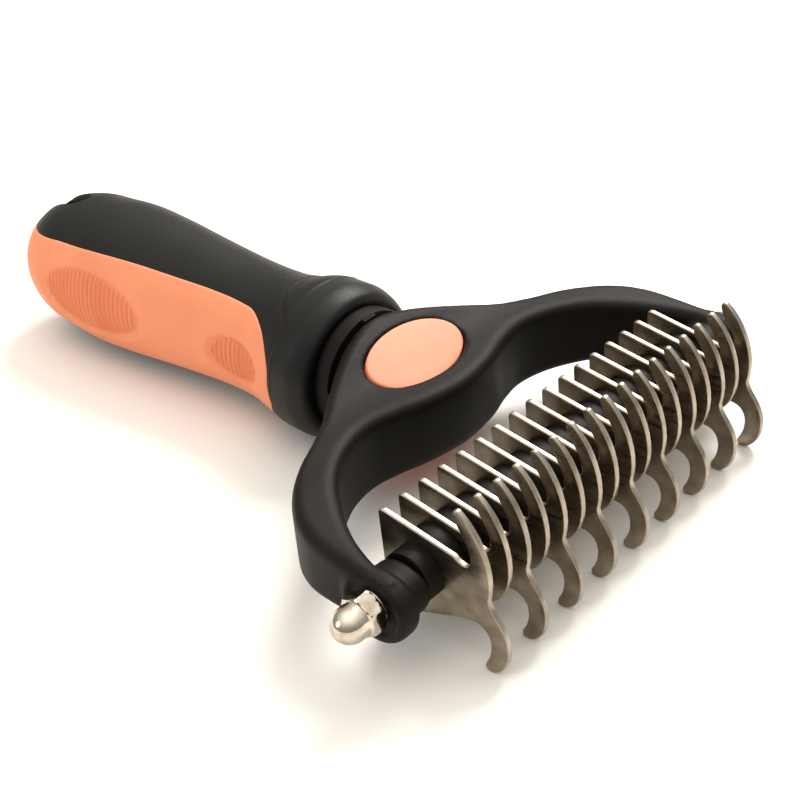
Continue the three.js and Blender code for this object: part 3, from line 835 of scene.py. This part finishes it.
def slot_cutter():
    """Hanging slot, a little flared where it meets the handle's top and bottom."""
    radius = HANG_WIDE / 2
    run = (HANG_LONG - HANG_WIDE) / 2
    outline = []
    for end in (1, -1):
        for k in range(17):
            angle = end * math.pi / 2 - math.pi / 2 + k / 16 * math.pi
            outline.append((radius * math.cos(angle), end * run + radius * math.sin(angle)))
    verts = []
    heights = [(0.6, 19), (0.35, 16.2), (0.15, 15.2), (0.0, 13.6), (0.0, -13.6),
               (0.15, -15.2), (0.35, -16.2), (0.6, -19)]
    for grow, z in heights:
        for x, y in outline:
            n = Vector((x, y - math.copysign(min(abs(y), run), y))).normalized()
            verts.append((x + n.x * grow, HANG_Y + y + n.y * grow, z))
    return raw_mesh("slot_cutter", verts, capped_faces(len(heights), len(outline)))


# ribbed ovals: centre y, half length, angle up from the flank, half angle
OVALS = [(120.1, 17.4, 0.07, 0.47), (74.3, 8.2, 0.06, 0.34)]
OVAL_DEPTH, RIB_HEIGHT, RIB_PITCH = 0.9, 0.8, 1.42


def grip_relief(y, angle):
    """Height of the grip's skin over the plain form: dished ovals with raised ribs."""
    height = 0.0
    for centre, long, lift, spread in OVALS:
        rho = math.hypot((y - centre) / long, (angle - lift) / spread)
        dish = float(smoothstep((1.14 - rho) / 0.26))
        ribs = float(smoothstep((0.97 - rho) / 0.12))
        wave = 0.5 + 0.5 * math.cos(2 * math.pi * (y - centre) / RIB_PITCH)
        height -= OVAL_DEPTH * dish
        height += RIB_HEIGHT * ribs * wave
    return height


def make_grip():
    """Soft grip on both flanks, with a rounded rim and ribbed ovals."""
    rim_steps = (0.0, 0.01, 0.05, 0.12, 0.22, 0.36, 0.52, 0.7)
    places = [GRIP_FRONT + d for d in rim_steps] + list(np.arange(GRIP_FRONT + 0.9, 139, 0.2))
    places += list(np.arange(139.4, 153, 0.6))
    places += [HANDLE_REAR - d for d in (2.0, 1.4, 0.9, 0.5, 0.25, 0.1, 0.02)]
    spread = np.linspace(-1, 1, 71)
    flanks_meet, no_edge = 1.57, 9.0
    verts, faces = [], []
    for side in (-1, 1):
        first = len(verts)
        for y in places:
            r = max(0.02, handle_radius(y))
            reach = math.asin(min(1.0, grip_half(y) / (HANDLE_HIGH * r)))
            for s in spread:
                angle = reach * s * (FAR_EDGE if side > 0 and s > 0 else 1.0)
                to_edge = (1 - abs(s)) * reach * r
                if reach > flanks_meet:
                    to_edge = no_edge
                to_front = y - GRIP_FRONT
                rim = min(1.0, min(to_edge, to_front + 0.02) / GRIP_RIM)
                skin = GRIP_PROUD - GRIP_RIM * (1 - math.sqrt(max(0.0, 1 - (1 - rim) ** 2)))
                grown = r + skin + grip_relief(y, reach * s)
                verts.append((side * HANDLE_WIDE * grown * math.cos(angle), y,
                              HANDLE_HIGH * grown * math.sin(angle)))
        for a, b, c, d in ring_faces(len(places), len(spread), closed=False):
            faces.append((first + a, first + b, first + c, first + d))
    obj = raw_mesh("soft_grip", verts, faces)
    mod = obj.modifiers.new("thick", "SOLIDIFY")
    mod.thickness = GRIP_THICK
    mod.offset = -1
    bake_modifiers(obj)
    mark_sharp(obj.data, 60)
    finish_piece(obj, "soft_orange", ["grip_wrap"])


make_blades()
make_spacers()
make_nut()
make_bolt_head()
make_rings_at_ends()
make_yoke()
make_badges()
make_collar()
make_handle_shell()
make_grip()
for node, slot in (("axle_rod", "plain_steel"), ("handle_core", "black_plastic"),
                   ("spigot_pin", "plain_steel")):
    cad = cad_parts[node]
    cad.data.materials.clear()
    cad.data.materials.append(MATERIALS[slot])

# ---------------------------------------------------------------- table, light, camera


def make_floor():
    """Plain pale table."""
    mesh = bpy.data.meshes.new("table_top")
    side = 4.0
    mesh.from_pydata([(-side, -side, 0), (side, -side, 0), (side, side, 0), (-side, side, 0)],
                     [], [(0, 1, 2, 3)])
    floor = show("table_top", mesh)
    mat, shader = new_material("pale_table", (0.9, 0.88, 0.84), 0.7)
    tone = noise(mat, 6, 3)
    link(mat, ramp_color(mat, tone, (0.87, 0.85, 0.81), (0.91, 0.89, 0.86)),
         shader.inputs["Base Color"])
    shader.inputs["Specular IOR Level"].default_value = 0.2
    mesh.materials.append(mat)


def area_light(name, place, size, power, color):
    """Round soft light that points at the middle of the rake."""
    data = bpy.data.lights.new(name, "AREA")
    data.shape = "DISK"
    data.size = size
    data.energy = power
    data.color = color
    light = show(name, data)
    light.location = place
    aim = -Vector(place)
    light.rotation_euler = aim.to_track_quat("-Z", "Y").to_euler()


def make_light():
    """Pale studio: a warm sky that is brightest overhead, a key light and a weak side one."""
    world = bpy.data.worlds.new("studio")
    world.use_nodes = True
    sky = world.node_tree.nodes["Background"]
    nodes, links = world.node_tree.nodes, world.node_tree.links
    place = nodes.new("ShaderNodeTexCoord")
    split = nodes.new("ShaderNodeSeparateXYZ")
    shade = nodes.new("ShaderNodeValToRGB")
    links.new(place.outputs["Generated"], split.inputs["Vector"])
    links.new(split.outputs["Z"], shade.inputs["Fac"])
    stops = [(0.0, 0.25), (0.45, 0.40), (0.75, 0.85), (1.0, 1.35)]
    ramp = shade.color_ramp
    for _ in stops[2:]:
        ramp.elements.new(0.5)
    for element, (at, value) in zip(ramp.elements, stops):
        element.position = at
        element.color = (value, 0.965 * value, 0.90 * value, 1)
    links.new(shade.outputs["Color"], sky.inputs["Color"])
    sky.inputs["Strength"].default_value = 1.45
    bpy.context.scene.world = world
    area_light("key", (0.72, 0.12, 0.80), 0.55, 13.0, (1, 0.97, 0.93))
    area_light("side", (-0.80, 0.45, 0.45), 0.5, 1.6, (1, 0.98, 0.95))
    scene = bpy.context.scene
    scene.view_settings.view_transform = "Standard"
    scene.view_settings.look = "None"
    scene.view_settings.exposure = 0.0


def make_camera():
    """Three-quarter view from the near end of the blades, slightly rolled."""
    turn, rise, roll = (math.radians(a) for a in (-45.55, 32.38, -5.3))
    place = AXLE + Vector((-0.16944, -0.12514, 0.14693))
    data = bpy.data.cameras.new("camera")
    data.lens = 63.0
    data.sensor_width = 36.0
    data.clip_start = 0.01
    camera = show("camera", data)
    look = Matrix.Rotation(turn, 4, "Z") @ Matrix.Rotation(math.pi / 2 - rise, 4, "X")
    camera.matrix_world = Matrix.Translation(place) @ look @ Matrix.Rotation(roll, 4, "Z")
    bpy.context.scene.camera = camera


make_floor()
make_light()
make_camera()
